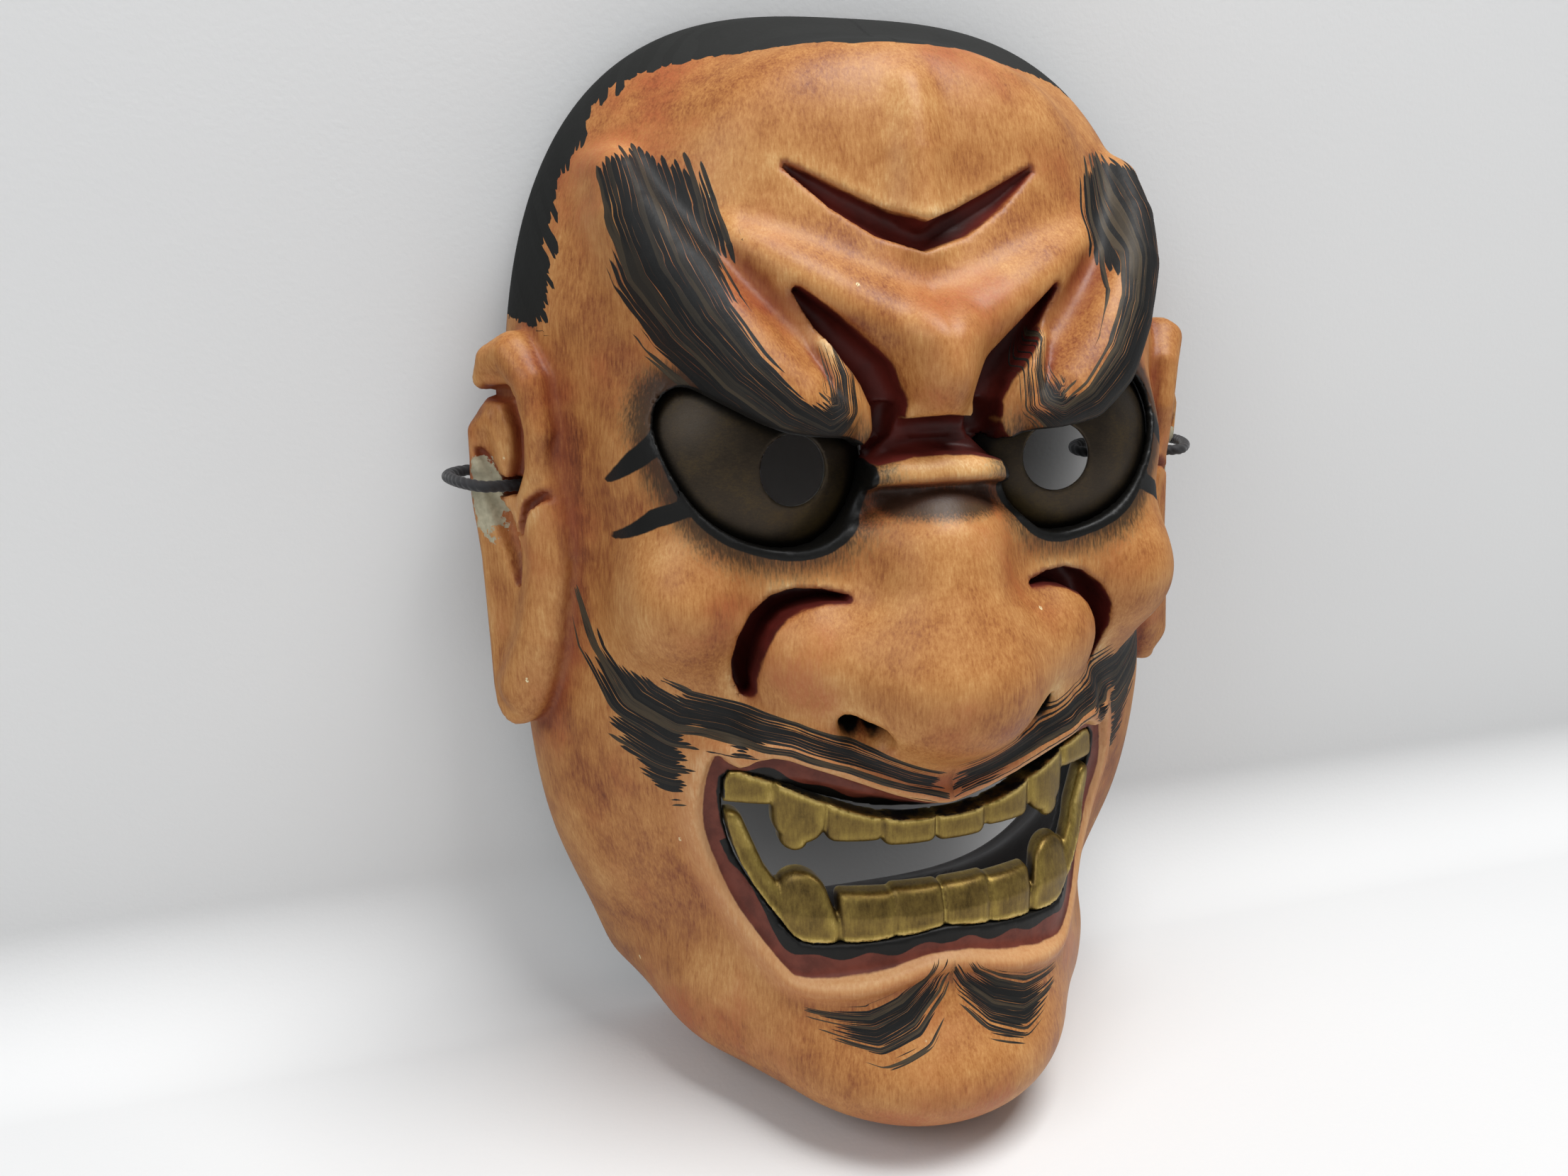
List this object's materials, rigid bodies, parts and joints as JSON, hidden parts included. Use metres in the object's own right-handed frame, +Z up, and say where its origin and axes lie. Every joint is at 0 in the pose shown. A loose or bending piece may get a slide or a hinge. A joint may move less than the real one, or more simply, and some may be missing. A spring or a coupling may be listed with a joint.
{
  "type": "noh mask",
  "caption": "Carved and painted wooden theatre mask of a scowling fanged demon, with gilt eye plates, gilt teeth rows and a tied ear cord.",
  "frame": {"origin": "centre of the flat back rim plane, where the wearer's face meets the mask, midway between the ears", "axes": "+Z up to the crown, +Y out of the back towards the wearer, so the face looks towards -Y; +X is the viewer's right"},
  "size_m": [0.179, 0.0869, 0.2273],
  "materials": {
    "painted_wood": "gofun ground painted tan-orange, rubbed back to light edges, with black hair strokes and dark red creases",
    "eye_gilt": "aged gilt copper, dull olive bronze",
    "teeth_gilt": "brushed dull gold, worn",
    "cord": "twisted black cord"
  },
  "bodies": {
    "root": {"mask_body": "painted_wood", "left_eye": "eye_gilt", "right_eye": "eye_gilt", "upper_teeth": "teeth_gilt", "lower_teeth": "teeth_gilt", "left_ear_loop": "cord", "right_ear_loop": "cord", "left_knot": "cord", "right_knot": "cord", "ear_cord": "cord"}
  },
  "joints": []
}
